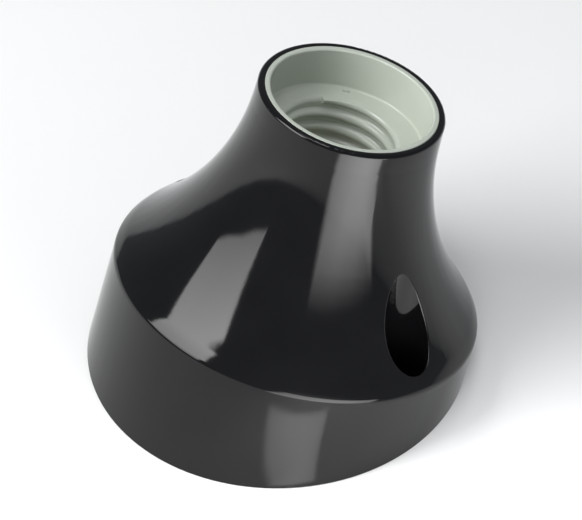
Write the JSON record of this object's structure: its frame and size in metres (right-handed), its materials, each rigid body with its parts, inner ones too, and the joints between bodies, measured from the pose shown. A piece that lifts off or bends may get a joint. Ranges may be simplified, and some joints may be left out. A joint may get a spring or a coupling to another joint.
{
  "type": "angled batten lamp holder",
  "caption": "Surface lamp holder with a leaning bell-shaped black housing, a pale threaded insert for a screw-cap lamp and two recessed screw wells.",
  "frame": {"origin": "midway between the two wall-screw holes, on the mounting plane, where the bell's axis crosses it", "axes": "+Z out of the wall or ceiling, +X the way the bell leans, Y along the line of the two screw wells"},
  "size_m": [0.0873, 0.0826, 0.072],
  "materials": {
    "black_moulding": "gloss",
    "pale_moulding": "gloss",
    "block_ceramic": "matt",
    "spring_brass": "satin",
    "terminal_brass": "satin",
    "rivet_brass": "satin",
    "bush_brass": "satin",
    "screw_steel": "zinc plated",
    "plated_steel": "zinc plated"
  },
  "bodies": {
    "holder": {"housing": "black_moulding", "threaded_insert": "pale_moulding", "contact_block": "block_ceramic", "centre_contact": "spring_brass", "side_contact": "spring_brass", "neutral_terminal_body": "terminal_brass", "neutral_contact_rivet": "rivet_brass", "line_terminal_body": "terminal_brass", "line_contact_rivet": "rivet_brass", "left_fixing_screw": "screw_steel", "left_spring_washer": "plated_steel", "left_threaded_bush": "bush_brass", "right_fixing_screw": "screw_steel", "right_spring_washer": "plated_steel", "right_threaded_bush": "bush_brass"},
    "line_clamp": {"line_terminal_screw": "screw_steel", "line_clamp_plate": "plated_steel"},
    "neutral_clamp": {"neutral_terminal_screw": "screw_steel", "neutral_clamp_plate": "plated_steel"}
  },
  "joints": [
    {"name": "line_clamp_slide", "type": "slide", "parent": "holder", "child": "line_clamp", "axis": [0.2689, 0, 0.9632], "range_m": [0, 0.0026]},
    {"name": "neutral_clamp_slide", "type": "slide", "parent": "holder", "child": "neutral_clamp", "axis": [0.2689, 0, 0.9632], "range_m": [0, 0.0026]}
  ]
}
